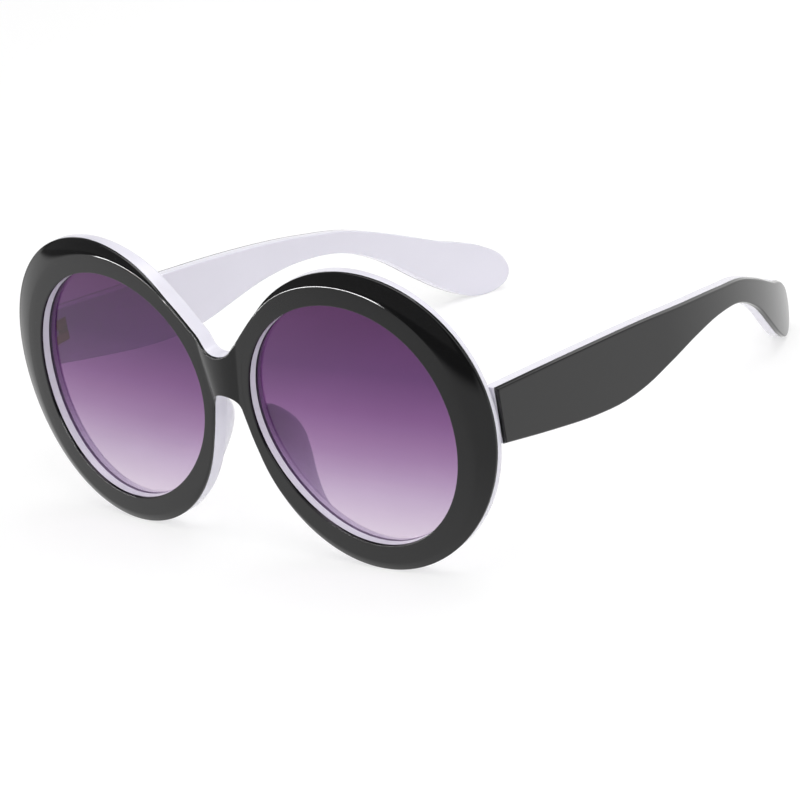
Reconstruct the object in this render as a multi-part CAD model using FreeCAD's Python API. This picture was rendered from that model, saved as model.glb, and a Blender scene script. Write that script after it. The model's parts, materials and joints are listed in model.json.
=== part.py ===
import FreeCAD, Part
import os
from math import cos, pi, radians, sin, sqrt

# Oversized round sunglasses, open, standing on a table on the two rims and the two temple tips.
# X runs to the wearer's left, Y backwards from the front, Z up. All sizes are in millimetres.

Vector = FreeCAD.Vector

# Lens openings: mean radius, distance from the mid plane, and departures from a circle
OPENING_RADIUS = 29.0
OPENING_OFFSET = 37.0
OPENING_OVAL = -0.29
OPENING_SLANT = -0.81
OPENING_EGG = -0.44
OPENING_LEAN = 0.26
WRAP_RADIUS = 550.0

# Rims: widths at four places, swell of the upper outer corner, and the bevelled edge
RIM_WIDTH_OUTER = 9.8
RIM_WIDTH_TOP = 7.8
RIM_WIDTH_BOTTOM = 6.4
RIM_WIDTH_NOSE = 2.1
RIM_SLANT = 1.05
RIM_TAPER = 0.5
FLAT_BAND = 4.7
BEVEL_BLEND = 0.5
BEVEL_SLOPE = 0.30
EDGE_BREAK = 0.25

# Rounding of the bevel, as shares of its width with shares of its drop
BEVEL_CURVE = [(0.0, 0.0), (0.35, 0.25), (0.70, 0.60), (1.0, 1.0)]

# Layers of the front, from the black face to the white back
FACE_THICKNESS = 0.7
BOND_GAP = 0.05
LENS_SETBACK = 1.6
LENS_THICKNESS = 1.6
LENS_BLANK = 10.0
LENS_PLAY = 0.2
LENS_EDGE_PLAY = 0.15
GROOVE_DEPTH = 1.0
BACK_LIP = 1.2
BACK_SLOPE = 0.155

# Bridge: heights above the middle of the openings, and how far its curved sides stand off the rims,
# as angles around the opening with distances outside the rim
BRIDGE_TOP = 12.4
BRIDGE_BOTTOM = 2.9
BRIDGE_SHOULDER = [(127, -0.9), (138, 0.9), (149, 2.0), (158, 4.1)]
BRIDGE_HAUNCH = [(206, -0.9), (187, 1.3), (180, 2.7)]
BRIDGE_ROOT = 0.25
BRIDGE_ROOT_STEPS = 4
BRIDGE_SET_IN = 0.12
BRIDGE_HOLLOW_RADIUS = 18.5
BRIDGE_HOLLOW_DEPTH = 0.85

# Nose pads: stretch of the rim that carries one, in degrees around the opening
PAD_START = 180.0
PAD_END = 252.0
PAD_DEPTH = 6.1
PAD_ROOT = 1.2
PAD_SPLAY = 0.36
PAD_THICKNESS = 2.2
PAD_PEAK = 0.29
PAD_SHOULDER = 0.9
PAD_CREST_OUTER = 0.7
PAD_CREST_INNER = 0.8
PAD_STATIONS = 9

# Temples
TEMPLE_LENGTH = 148.7
TEMPLE_OVERHANG = 0.5
TEMPLE_OUTER_LAYER = 1.3
TEMPLE_INNER_LAYER = 2.85
TEMPLE_TOE_IN = 0.042
TEMPLE_BEND_START = 66.0
TEMPLE_BEND_RADIUS = 182.0
TEMPLE_BEND_SPARE = 1.2
TEMPLE_STOP_GAP = 0.15
TEMPLE_OUTER_ROUND = 0.5
TEMPLE_INNER_ROUND = 1.1
TIP_REST_BACK = 9.6

# Edges of a temple seen from the side, as rises above the straight line from the middle of the hinge
# to the spot where the tip rests. Shaft points are shares of the way from the hinge to the crook,
# and crook points are distances from the tip's end.
CROOK_LENGTH = 58.7
SHAFT_TOP = [(0, 6.6), (0.333, 11.7), (0.767, 17.8)]
CROOK_TOP = [(54.7, 20.6), (41.2, 21.2), (31.7, 20.0), (16.2, 16.9), (5.7, 14.9)]
CROOK_END = [(0, 8.2), (2.1, 3.6), (9.6, 0.44), (16.7, 2.5)]
CROOK_BOTTOM = [(22.7, 5.8), (33.4, 12.1), (44.7, 14.9), (56.7, 13.7)]
SHAFT_BOTTOM = [(0.872, 9.6), (0.739, 4.5), (0.617, -0.2), (0.5, -3.3), (0.394, -4.8), (0.189, -6.2)]
SHAFT_BOTTOM += [(0, -6.9)]

# Reinforcing core of each temple
CORE_THICKNESS = 1.0
CORE_WIDTH = 2.2
CORE_START = 20.0
CORE_END_BACK = 24.0
CORE_PLAY = 0.1
CORE_STATIONS = 8

# Hinges
HINGE_RISE = 4.2
HINGE_HEIGHT = 6.0
KNUCKLE_RADIUS = 1.35
KNUCKLE_GAP = 0.2
CENTRE_KNUCKLE = 1.9
HINGE_SIDE_GAP = 0.35
HINGE_BACK_GAP = 0.35
PIVOT_RADIUS = 0.6
PIVOT_CLEARANCE = 0.05
PIVOT_HEAD_RADIUS = 1.15
PIVOT_HEAD_HEIGHT = 0.7
PIVOT_END = 0.3
LEAF_THICKNESS = 0.9
LEAF_PROUD = 0.4
LEAF_PLAY = 0.1
FRONT_LEAF_WIDTH = 3.8
FRONT_LEAF_HEIGHT = 12.4
TEMPLE_LEAF_LENGTH = 8.3
FIXING_EDGE = 1.6
FIXING_RADIUS = 0.6
FIXING_HEAD_RADIUS = 1.0
FIXING_HEAD_HEIGHT = 0.4
FIXING_LENGTH = 2.3
FIXING_PLAY = 0.05
SLOT_WIDTH = 0.35
SLOT_DEPTH = 0.25

# Points on each rail of a rim, a reach that goes past every piece, and a distance that counts as touching
RAIL_POINTS = 60
REACH = 400.0
TOUCH = 0.001

# Depths behind the face, all from the same layers
BACKING_FRONT = FACE_THICKNESS + BOND_GAP
GROOVE_FRONT = BACKING_FRONT + LENS_SETBACK
GROOVE_BACK = GROOVE_FRONT + LENS_THICKNESS + 2 * LENS_PLAY
FRONT_THICKNESS = GROOVE_BACK + BACK_LIP
TEMPLE_THICKNESS = TEMPLE_OUTER_LAYER + BOND_GAP + TEMPLE_INNER_LAYER
TIP_REST = TEMPLE_LENGTH - TIP_REST_BACK


def opening_radius(angle):
    """Radius of a lens opening; the angle runs from the outer side over the top."""
    oval = OPENING_OVAL * cos(2 * angle) + OPENING_SLANT * sin(2 * angle)
    egg = OPENING_EGG * cos(3 * angle) + OPENING_LEAN * sin(3 * angle)
    return OPENING_RADIUS + oval + egg


def rim_width(angle):
    """Width of the rim around the opening, from its four named widths."""
    mean = (RIM_WIDTH_OUTER + RIM_WIDTH_TOP + RIM_WIDTH_BOTTOM + RIM_WIDTH_NOSE) / 4
    across = (RIM_WIDTH_OUTER - RIM_WIDTH_NOSE) / 2 - RIM_TAPER
    upright = (RIM_WIDTH_TOP - RIM_WIDTH_BOTTOM) / 2
    oval = (RIM_WIDTH_OUTER + RIM_WIDTH_NOSE - RIM_WIDTH_TOP - RIM_WIDTH_BOTTOM) / 4
    corners = RIM_SLANT * sin(2 * angle) + RIM_TAPER * cos(3 * angle)
    return mean + across * cos(angle) + upright * sin(angle) + oval * cos(2 * angle) + corners


def bevel_width(angle):
    """Width of the sloping band outside the flat band; it fades out at the nose."""
    spare = rim_width(angle) - FLAT_BAND
    return (spare + sqrt(spare ** 2 + 4 * BEVEL_BLEND ** 2)) / 2


def back_depth(offset):
    """Depth of the back of the rim at a distance outside the opening."""
    return FRONT_THICKNESS - BACK_SLOPE * offset


def lowest_of_rim():
    """Lowest point of a rim below the centre of its opening."""
    angles = [radians(degrees / 4) for degrees in range(1440)]
    return min((opening_radius(a) + rim_width(a)) * sin(a) for a in angles)


# The rims stand on the table, which sets the height of their centres.
CENTRE_HEIGHT = -lowest_of_rim()
HINGE_Z = CENTRE_HEIGHT + HINGE_RISE


def front_point(across, height, depth):
    """Point of the wrapped front, at a distance along it from the mid plane."""
    turn = across / WRAP_RADIUS
    radius = WRAP_RADIUS - depth
    return Vector(radius * sin(turn), WRAP_RADIUS - radius * cos(turn), height)


def rim_point(angle, offset, depth):
    """Point of the left rim, at an offset outside the opening."""
    radius = opening_radius(angle) + offset
    across = OPENING_OFFSET + radius * cos(angle)
    return front_point(across, CENTRE_HEIGHT + radius * sin(angle), depth)


# The temples start behind the outer edges of the rims, and the hinges sit inside the temples.
TEMPLE_X = rim_point(0.0, RIM_WIDTH_OUTER, BACKING_FRONT).x + TEMPLE_OVERHANG
TEMPLE_INNER_X = TEMPLE_X - TEMPLE_THICKNESS
BACK_Y = rim_point(0.0, GROOVE_DEPTH, back_depth(GROOVE_DEPTH)).y
TEMPLE_Y = BACK_Y + TEMPLE_STOP_GAP
AXIS_X = TEMPLE_INNER_X - HINGE_SIDE_GAP - KNUCKLE_RADIUS
AXIS_Y = BACK_Y + LEAF_PROUD + HINGE_BACK_GAP + KNUCKLE_RADIUS
FRONT_LEAF_X = AXIS_X + KNUCKLE_RADIUS - FRONT_LEAF_WIDTH
FRONT_LEAF_BACK = BACK_Y + LEAF_PROUD
TEMPLE_LEAF_X = TEMPLE_INNER_X - LEAF_PROUD
TEMPLE_LEAF_Y = AXIS_Y + KNUCKLE_RADIUS + HINGE_BACK_GAP


def box(x0, x1, y0, y1, z0, z1):
    return Part.makeBox(x1 - x0, y1 - y0, z1 - z0, Vector(x0, y0, z0))


def upright_cylinder(radius, x, y, z0, z1):
    return Part.makeCylinder(radius, z1 - z0, Vector(x, y, z0))


def mirrored(shape):
    return shape.mirror(Vector(0, 0, 0), Vector(1, 0, 0))


def flipped(point):
    return Vector(-point.x, point.y, point.z)


def spline(points):
    curve = Part.BSplineCurve()
    curve.interpolate(points)
    return curve.toShape()


def closed_spline(points):
    curve = Part.BSplineCurve()
    curve.interpolate(points, PeriodicFlag=True)
    return Part.Wire([curve.toShape()])


def rail_angles():
    return [2 * pi * i / RAIL_POINTS for i in range(RAIL_POINTS)]


def rim_ring(profile):
    """Ring around the left opening; the profile gives (offset, depth) pairs at an angle."""
    angles = rail_angles()
    rails = []
    for i in range(len(profile(0.0))):
        rails.append(closed_spline([rim_point(angle, *profile(angle)[i]) for angle in angles]))
    return Part.makeLoft(rails, True, True, True)


def face_slope(angle):
    """Offsets and depths across the front of the rim, from the flat band over the bevel to the edge."""
    bevel = bevel_width(angle)
    flat = rim_width(angle) - bevel
    return [(flat + bevel * across, BEVEL_SLOPE * bevel * down) for across, down in BEVEL_CURVE]


def face_profile(angle):
    slope = face_slope(angle)
    behind = [(offset, depth + FACE_THICKNESS) for offset, depth in reversed(slope)]
    return [(EDGE_BREAK, 0.0)] + slope + behind + [(0.0, FACE_THICKNESS), (0.0, EDGE_BREAK)]


def face_room_profile(angle):
    """Space that the face takes up on a rim, with the bond gap around it, open to the front."""
    behind = [(offset, depth + BACKING_FRONT) for offset, depth in reversed(face_slope(angle))]
    edge = rim_width(angle) + BOND_GAP
    foot = (edge, behind[0][1])
    return [(0.0, -FACE_THICKNESS), (edge, -FACE_THICKNESS), foot] + behind[1:] + [(0.0, BACKING_FRONT)]


def backing_profile(angle):
    width = rim_width(angle)
    front = [(offset, depth + BACKING_FRONT) for offset, depth in face_slope(angle)]
    back = [
        (width, back_depth(width) - EDGE_BREAK),
        (width - EDGE_BREAK, back_depth(width)),
        (EDGE_BREAK, back_depth(EDGE_BREAK)),
        (0.0, FRONT_THICKNESS - EDGE_BREAK),
    ]
    groove = [
        (0.0, GROOVE_BACK),
        (GROOVE_DEPTH, GROOVE_BACK),
        (GROOVE_DEPTH, GROOVE_FRONT),
        (0.0, GROOVE_FRONT),
    ]
    return front + back + groove + [(0.0, BACKING_FRONT)]


def bridge_plate(front, back):
    """Plate between the rims whose ends lie inside them, from one depth to another."""

    def beside_rim(degrees, stand_off):
        angle = radians(degrees)
        point = rim_point(angle, rim_width(angle) + stand_off, 0.0)
        return Vector(point.x, front, point.z)

    shoulder = [beside_rim(*place) for place in BRIDGE_SHOULDER]
    haunch = [beside_rim(*place) for place in BRIDGE_HAUNCH]
    top = Vector(0, front, CENTRE_HEIGHT + BRIDGE_TOP)
    bottom = Vector(0, front, CENTRE_HEIGHT + BRIDGE_BOTTOM)
    upper = shoulder + [top] + [flipped(point) for point in reversed(shoulder)]
    lower = [flipped(point) for point in haunch] + [bottom] + list(reversed(haunch))
    first, last = BRIDGE_HAUNCH[0][0], BRIDGE_SHOULDER[0][0]
    side = [haunch[0]]
    for i in range(1, BRIDGE_ROOT_STEPS):
        degrees = first + (last - first) * i / BRIDGE_ROOT_STEPS
        side.append(beside_rim(degrees, -BRIDGE_ROOT * rim_width(radians(degrees))))
    side.append(shoulder[0])
    edges = [
        spline(upper),
        spline([flipped(point) for point in reversed(side)]),
        spline(lower),
        spline(side),
    ]
    return Part.Face(Part.Wire(edges)).extrude(Vector(0, back - front, 0))


def bridge_hollow(depth):
    """Upright cylinder in front of the bridge, whose back lies at a depth below its hollow face."""
    axis_y = BRIDGE_HOLLOW_DEPTH - BRIDGE_HOLLOW_RADIUS
    return upright_cylinder(BRIDGE_HOLLOW_RADIUS + depth, 0, axis_y, -REACH, REACH)


def make_front_face():
    ring = rim_ring(face_profile)
    skin_back = FACE_THICKNESS - BOND_GAP
    plate = bridge_plate(BRIDGE_SET_IN, BRIDGE_HOLLOW_DEPTH + FACE_THICKNESS)
    skin = box(-REACH, REACH, 0, skin_back, -REACH, REACH).fuse(bridge_hollow(FACE_THICKNESS))
    bridge = plate.common(skin).cut(bridge_hollow(0.0))
    return ring.fuse([mirrored(ring), bridge]).Solids[0]


def make_front_backing():
    ring = rim_ring(backing_profile)
    pocket = front_leaf_plate(LEAF_PLAY).fuse(front_fixings(FIXING_PLAY))
    ring = ring.cut(pocket)
    plate = bridge_plate(BACKING_FRONT, FRONT_THICKNESS - 2 * EDGE_BREAK)
    room = rim_ring(face_room_profile)
    bridge = plate.cut([bridge_hollow(BACKING_FRONT), room, mirrored(room)])
    return ring.fuse([mirrored(ring), bridge]).Solids[0]


def make_lens():
    """Left lens: a slice of the wrapped shell, held in the groove of the backing."""
    depth = GROOVE_FRONT + LENS_PLAY
    middle = depth + LENS_THICKNESS / 2
    centre = front_point(OPENING_OFFSET, CENTRE_HEIGHT, middle)
    normal = front_point(OPENING_OFFSET, CENTRE_HEIGHT, middle + 1) - centre
    overlap = GROOVE_DEPTH - LENS_EDGE_PLAY
    points = []
    for angle in rail_angles():
        point = rim_point(angle, overlap, middle)
        points.append(point - normal * ((point - centre).dot(normal) + LENS_BLANK / 2))
    blank = Part.Face(closed_spline(points)).extrude(normal * LENS_BLANK)
    front = upright_cylinder(WRAP_RADIUS - depth, 0, WRAP_RADIUS, -REACH, REACH)
    back = upright_cylinder(WRAP_RADIUS - depth - LENS_THICKNESS, 0, WRAP_RADIUS, -REACH, REACH)
    return blank.common(front).cut(back)


def pad_rise(share):
    """Height of a pad's crest along its stretch: steep at the bridge, running out below."""
    falling = 1 / PAD_PEAK - 1
    return PAD_DEPTH * (share / PAD_PEAK) * ((1 - share) / (1 - PAD_PEAK)) ** falling


def make_nose_pad(backing):
    """Left nose pad: a wing on the back of the rim, splayed away from the nose."""
    sections = []
    for i in range(PAD_STATIONS):
        share = i / (PAD_STATIONS - 1)
        angle = radians(PAD_START + share * (PAD_END - PAD_START))
        width = rim_width(angle)
        inward = Vector(-cos(angle), 0, -sin(angle))
        stem = Vector(0, 1, 0) + inward * PAD_SPLAY
        root = rim_point(angle, width / 2, back_depth(width / 2) - PAD_ROOT / 2)
        tip = root + stem * (pad_rise(share) + PAD_ROOT)
        half_way = (root + tip) * 0.5
        near_tip = root + (tip - root) * PAD_SHOULDER
        flank = inward * (PAD_THICKNESS / 2)
        points = [
            root - flank,
            half_way - flank,
            near_tip - flank * PAD_CREST_OUTER,
            tip,
            near_tip + flank * PAD_CREST_INNER,
            half_way + flank,
            root + flank,
        ]
        sections.append(Part.Wire([spline(points), Part.makeLine(points[-1], points[0])]))
    pad = Part.makeLoft(sections, True, False)
    seat = backing.copy()
    seat.translate(Vector(0, BOND_GAP, 0))
    return max(pad.cut(seat).Solids, key=lambda solid: solid.Volume)


def front_leaf_plate(play):
    half = FRONT_LEAF_HEIGHT / 2 + play
    front = FRONT_LEAF_BACK - LEAF_THICKNESS - play
    right = FRONT_LEAF_X + FRONT_LEAF_WIDTH + play
    return box(FRONT_LEAF_X - play, right, front, FRONT_LEAF_BACK, HINGE_Z - half, HINGE_Z + half)


def temple_leaf_plate(play):
    half = HINGE_HEIGHT / 2 + play
    end = TEMPLE_LEAF_Y + TEMPLE_LEAF_LENGTH + play
    inner = TEMPLE_LEAF_X + LEAF_THICKNESS + play
    return box(TEMPLE_LEAF_X, inner, TEMPLE_LEAF_Y - play, end, HINGE_Z - half, HINGE_Z + half)


def temple_leaf_tab(play):
    half = CENTRE_KNUCKLE / 2 + play
    inner = TEMPLE_LEAF_X + LEAF_THICKNESS + play
    return box(TEMPLE_LEAF_X, inner, AXIS_Y, TEMPLE_LEAF_Y + play, HINGE_Z - half, HINGE_Z + half)


def fixing_blank(head_centre, inward, play):
    """Fixing screw without its slot, its head flush with a leaf, driven inwards."""
    head = Part.makeCylinder(FIXING_HEAD_RADIUS + play, FIXING_HEAD_HEIGHT + play, head_centre, inward)
    shank = Part.makeCylinder(FIXING_RADIUS + play, FIXING_LENGTH + play, head_centre, inward)
    return head.fuse(shank)


def front_fixing_places():
    x = FRONT_LEAF_X + FRONT_LEAF_WIDTH / 2
    rise = FRONT_LEAF_HEIGHT / 2 - FIXING_EDGE
    return [Vector(x, FRONT_LEAF_BACK, HINGE_Z + side * rise) for side in (1, -1)]


def temple_fixing_places():
    first = TEMPLE_LEAF_Y + FIXING_EDGE
    last = TEMPLE_LEAF_Y + TEMPLE_LEAF_LENGTH - FIXING_EDGE
    return [Vector(TEMPLE_LEAF_X, y, HINGE_Z) for y in (first, last)]


def front_fixings(play):
    return [fixing_blank(place, Vector(0, -1, 0), play) for place in front_fixing_places()]


def temple_fixings(play):
    return [fixing_blank(place, Vector(1, 0, 0), play) for place in temple_fixing_places()]


def knuckle(low, high):
    return upright_cylinder(KNUCKLE_RADIUS, AXIS_X, AXIS_Y, HINGE_Z + low, HINGE_Z + high)


def pivot_hole():
    return upright_cylinder(PIVOT_RADIUS + PIVOT_CLEARANCE, AXIS_X, AXIS_Y, -REACH, REACH)


def make_front_hinge_leaf():
    leaf = front_leaf_plate(0.0)
    start = CENTRE_KNUCKLE / 2 + KNUCKLE_GAP
    end = HINGE_HEIGHT / 2
    right = AXIS_X + KNUCKLE_RADIUS
    for low, high in ((start, end), (-end, -start)):
        web = box(AXIS_X - KNUCKLE_RADIUS, right, BACK_Y, AXIS_Y, HINGE_Z + low, HINGE_Z + high)
        leaf = leaf.fuse([knuckle(low, high), web])
    leaf = leaf.cut(pivot_hole())
    return leaf.cut(Part.makeCompound(front_fixings(FIXING_PLAY))).removeSplitter()


def make_temple_hinge_leaf():
    half = CENTRE_KNUCKLE / 2
    side = TEMPLE_LEAF_X + LEAF_THICKNESS
    neck = box(AXIS_X, side, AXIS_Y, AXIS_Y + KNUCKLE_RADIUS, HINGE_Z - half, HINGE_Z + half)
    leaf = temple_leaf_plate(0.0).fuse([temple_leaf_tab(0.0), neck, knuckle(-half, half)])
    leaf = leaf.cut(pivot_hole())
    return leaf.cut(Part.makeCompound(temple_fixings(FIXING_PLAY))).removeSplitter()


def make_pivot_screw():
    base = HINGE_Z + HINGE_HEIGHT / 2
    top = base + PIVOT_HEAD_HEIGHT
    end = HINGE_Z - HINGE_HEIGHT / 2 - PIVOT_END
    shank = upright_cylinder(PIVOT_RADIUS, AXIS_X, AXIS_Y, end, base)
    head = upright_cylinder(PIVOT_HEAD_RADIUS, AXIS_X, AXIS_Y, base, top)
    half = SLOT_WIDTH / 2
    slot = box(-REACH, REACH, AXIS_Y - half, AXIS_Y + half, top - SLOT_DEPTH, top + SLOT_DEPTH)
    return head.fuse(shank).cut(slot).removeSplitter()


def make_front_fixing_screws():
    half = SLOT_WIDTH / 2
    screws = []
    for place, screw in zip(front_fixing_places(), front_fixings(0.0)):
        slot = box(-REACH, REACH, place.y - SLOT_DEPTH, place.y + SLOT_DEPTH, place.z - half, place.z + half)
        screws.append(screw.cut(slot).removeSplitter())
    return Part.makeCompound(screws)


def make_temple_fixing_screws():
    half = SLOT_WIDTH / 2
    screws = []
    for place, screw in zip(temple_fixing_places(), temple_fixings(0.0)):
        slot = box(place.x - SLOT_DEPTH, place.x + SLOT_DEPTH, -REACH, REACH, place.z - half, place.z + half)
        screws.append(screw.cut(slot).removeSplitter())
    return Part.makeCompound(screws)


def temple_band(outer, inner):
    """Upright slab between two distances inside the temple's outer face: straight, then bent inwards."""
    run = sqrt(1 + TEMPLE_TOE_IN ** 2)
    heading = Vector(-TEMPLE_TOE_IN, 1, 0) * (1 / run)
    inwards = Vector(-1, -TEMPLE_TOE_IN, 0) * (1 / run)
    bend = Vector(TEMPLE_X, TEMPLE_Y, 0) + heading * TEMPLE_BEND_START
    centre = bend + inwards * TEMPLE_BEND_RADIUS
    full_turn = TEMPLE_BEND_SPARE * (TEMPLE_LENGTH - TEMPLE_BEND_START) / TEMPLE_BEND_RADIUS

    def on_bend(turn, offset):
        spoke = inwards * -cos(turn) + heading * sin(turn)
        return centre + spoke * (TEMPLE_BEND_RADIUS - offset)

    turns = (0.0, full_turn / 2, full_turn)
    near = [on_bend(turn, outer) for turn in turns]
    far = [on_bend(turn, inner) for turn in reversed(turns)]
    near_start = Vector(TEMPLE_X - outer * run, TEMPLE_Y, 0)
    far_start = Vector(TEMPLE_X - inner * run, TEMPLE_Y, 0)
    edges = [
        Part.makeLine(near_start, near[0]),
        Part.Arc(*near).toShape(),
        Part.makeLine(near[2], far[0]),
        Part.Arc(*far).toShape(),
        Part.makeLine(far[2], far_start),
        Part.makeLine(far_start, near_start),
    ]
    slab = Part.Face(Part.Wire(edges)).extrude(Vector(0, 0, 2 * REACH))
    slab.translate(Vector(0, 0, -REACH))
    return slab


def temple_outline():
    """Face of the temple seen from the side, in the mid plane."""
    shaft = TEMPLE_LENGTH - CROOK_LENGTH
    top = [(shaft * share, rise) for share, rise in SHAFT_TOP]
    crook = [(TEMPLE_LENGTH - back, rise) for back, rise in CROOK_TOP + CROOK_END + CROOK_BOTTOM]
    bottom = [(shaft * share, rise) for share, rise in SHAFT_BOTTOM]
    points = []
    for distance, rise in top + crook + bottom:
        line = HINGE_Z * (1 - distance / TIP_REST)
        points.append(Vector(0, TEMPLE_Y + distance, line + rise))
    return Part.Face(Part.Wire([spline(points), Part.makeLine(points[-1], points[0])]))


def temple_layer(outer, inner):
    """Layer of the temple between two distances inside its outer face."""
    return temple_outline().extrude(Vector(REACH, 0, 0)).common(temple_band(outer, inner))


def long_edges(layer, skin):
    """Edges of a layer along its outline that lie on the face at a distance inside the outer face."""
    face = temple_band(skin, skin + TEMPLE_THICKNESS)
    edges = []
    for edge in layer.Edges:
        middle = edge.valueAt((edge.FirstParameter + edge.LastParameter) / 2)
        spot = Part.Vertex(middle)
        on_face = min(side.distToShape(spot)[0] for side in face.Faces[:2]) < TOUCH
        if on_face and middle.y > TEMPLE_Y + BOND_GAP:
            edges.append(edge)
    return edges


def make_temple_outer():
    layer = temple_layer(0.0, TEMPLE_OUTER_LAYER)
    return layer.makeFillet(TEMPLE_OUTER_ROUND, long_edges(layer, 0.0)).Solids[0]


def core_strip(play):
    """Strip along the middle of the temple, against the joint between its layers."""
    outline = temple_outline()
    start = TEMPLE_Y + CORE_START - play
    end = TEMPLE_Y + TEMPLE_LENGTH - CORE_END_BACK + play
    half = Vector(0, 0, CORE_WIDTH / 2 + play)
    middle = []
    for i in range(CORE_STATIONS):
        y = start + (end - start) * i / (CORE_STATIONS - 1)
        upright = Part.makeLine(Vector(0, y, -REACH), Vector(0, y, REACH))
        middle.append(outline.common(upright).Edges[0].CenterOfMass)
    upper = [point + half for point in middle]
    lower = [point - half for point in reversed(middle)]
    ends = [Part.makeLine(upper[-1], lower[0]), Part.makeLine(lower[-1], upper[0])]
    edges = [spline(upper), ends[0], spline(lower), ends[1]]
    strip = Part.Face(Part.Wire(edges)).extrude(Vector(REACH, 0, 0))
    joint = TEMPLE_OUTER_LAYER + BOND_GAP
    return strip.common(temple_band(joint - play, joint + CORE_THICKNESS + play))


def make_temple_inner():
    layer = temple_layer(TEMPLE_OUTER_LAYER + BOND_GAP, TEMPLE_THICKNESS)
    layer = layer.makeFillet(TEMPLE_INNER_ROUND, long_edges(layer, TEMPLE_THICKNESS)).Solids[0]
    pocket = temple_leaf_plate(LEAF_PLAY).fuse([temple_leaf_tab(LEAF_PLAY)] + temple_fixings(FIXING_PLAY))
    return layer.cut(pocket).cut(core_strip(CORE_PLAY)).Solids[0]


def build():
    """All pieces by name; the right-hand ones mirror the left-hand ones."""
    backing = make_front_backing()
    left = {
        "lens": make_lens(),
        "nose_pad": make_nose_pad(backing),
        "front_hinge_leaf": make_front_hinge_leaf(),
        "front_hinge_fixing_screws": make_front_fixing_screws(),
        "hinge_pivot_screw": make_pivot_screw(),
        "temple_outer": make_temple_outer(),
        "temple_inner": make_temple_inner(),
        "temple_core_wire": core_strip(0.0).Solids[0],
        "temple_hinge_leaf": make_temple_hinge_leaf(),
        "temple_hinge_fixing_screws": make_temple_fixing_screws(),
    }
    pieces = {"front_face": make_front_face(), "front_backing": backing}
    for name, shape in left.items():
        pieces[name + "_left"] = shape
        pieces[name + "_right"] = mirrored(shape)
    return pieces


def main():
    """Sets the part on the table, centred front to back, and writes every piece."""
    pieces = build()
    bounds = Part.makeCompound(list(pieces.values())).optimalBoundingBox(False, False)
    shift = Vector(0, -(bounds.YMin + bounds.YMax) / 2, -bounds.ZMin)
    os.makedirs("parts", exist_ok=True)
    for name, shape in pieces.items():
        shape.translate(shift)
        shape.exportStep("parts/" + name + ".step")
        print(name, len(shape.Solids), shape.isValid(), round(shape.Volume, 1), shape.BoundBox)
    print("hinge axis", AXIS_X, AXIS_Y + shift.y, HINGE_Z + shift.z, "shift", shift)


main()
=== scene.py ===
"""Looks of a pair of oversized round two-tone sunglasses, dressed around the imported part."""

import json
import logging
import math
from abc import ABC, abstractmethod
from contextlib import contextmanager
from dataclasses import dataclass, field
from enum import Enum
from typing import Callable, Iterator, Optional, Sequence

import bpy
from mathutils import Matrix, Vector

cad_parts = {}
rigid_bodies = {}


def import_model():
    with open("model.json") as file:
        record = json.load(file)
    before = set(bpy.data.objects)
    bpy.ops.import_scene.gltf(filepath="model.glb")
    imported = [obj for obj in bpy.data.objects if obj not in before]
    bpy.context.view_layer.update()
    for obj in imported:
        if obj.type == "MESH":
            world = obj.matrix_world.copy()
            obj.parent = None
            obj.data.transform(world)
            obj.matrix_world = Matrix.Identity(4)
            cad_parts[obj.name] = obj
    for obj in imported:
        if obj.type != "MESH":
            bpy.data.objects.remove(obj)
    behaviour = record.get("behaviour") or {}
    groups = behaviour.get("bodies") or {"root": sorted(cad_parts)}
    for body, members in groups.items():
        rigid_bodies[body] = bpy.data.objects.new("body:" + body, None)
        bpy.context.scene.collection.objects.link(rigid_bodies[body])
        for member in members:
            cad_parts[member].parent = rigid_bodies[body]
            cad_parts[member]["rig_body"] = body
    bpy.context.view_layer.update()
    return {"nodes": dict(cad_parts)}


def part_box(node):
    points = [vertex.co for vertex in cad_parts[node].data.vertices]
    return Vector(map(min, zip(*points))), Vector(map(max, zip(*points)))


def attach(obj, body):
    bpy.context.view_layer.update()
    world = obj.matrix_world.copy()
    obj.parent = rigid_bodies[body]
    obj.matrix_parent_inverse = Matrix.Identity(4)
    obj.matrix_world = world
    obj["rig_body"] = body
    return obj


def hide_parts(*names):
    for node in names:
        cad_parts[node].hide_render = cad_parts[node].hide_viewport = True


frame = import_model()

LOG = logging.getLogger("sunglasses")
MM = 0.001

# Where the face of the front lies at the mid plane, and depths behind that face, in millimetres. The lens
# is thin here, because its tint does not bend the light that would bring its back nearer to the eye.
FRONT_Y = -79.123
GROOVE_FRONT = 2.6
LENS_THICKNESS = 0.7
LENS_PLAY = 0.05
FRONT_THICKNESS = 5.55
BACK_SLOPE = 0.155

# Segments around a rim, and the distance in millimetres at which loose corners of a copy are joined
AROUND = 240
JOIN_DISTANCE = 0.001

# Short names of types
Piece = bpy.types.Object
Material = bpy.types.Material
Tree = bpy.types.NodeTree
Socket = bpy.types.NodeSocket
Span = tuple[float, float]
Spot = tuple[float, float, float]
Profile = list[Span]
Pairs = tuple[Span, ...]


class Side(Enum):
    """The wearer's two sides, with the ending of node names there."""

    LEFT = "left"
    RIGHT = "right"


def linear(code: str) -> tuple[float, float, float, float]:
    """Turns an sRGB hex colour into linear light.

    Args:
        code: six hex digits after a hash sign.

    Returns:
        Red, green, blue and an alpha of one.
    """
    shares = [int(code[i:i + 2], 16) / 255 for i in (1, 3, 5)]
    light = [s / 12.92 if s <= 0.04045 else ((s + 0.055) / 1.055) ** 2.4 for s in shares]
    return (*light, 1.0)


def smooth_step(value: float, start: float, end: float) -> float:
    """Rises smoothly from nought at the start to one at the end."""
    share = min(max((value - start) / (end - start), 0.0), 1.0)
    return share * share * (3.0 - 2.0 * share)


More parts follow.
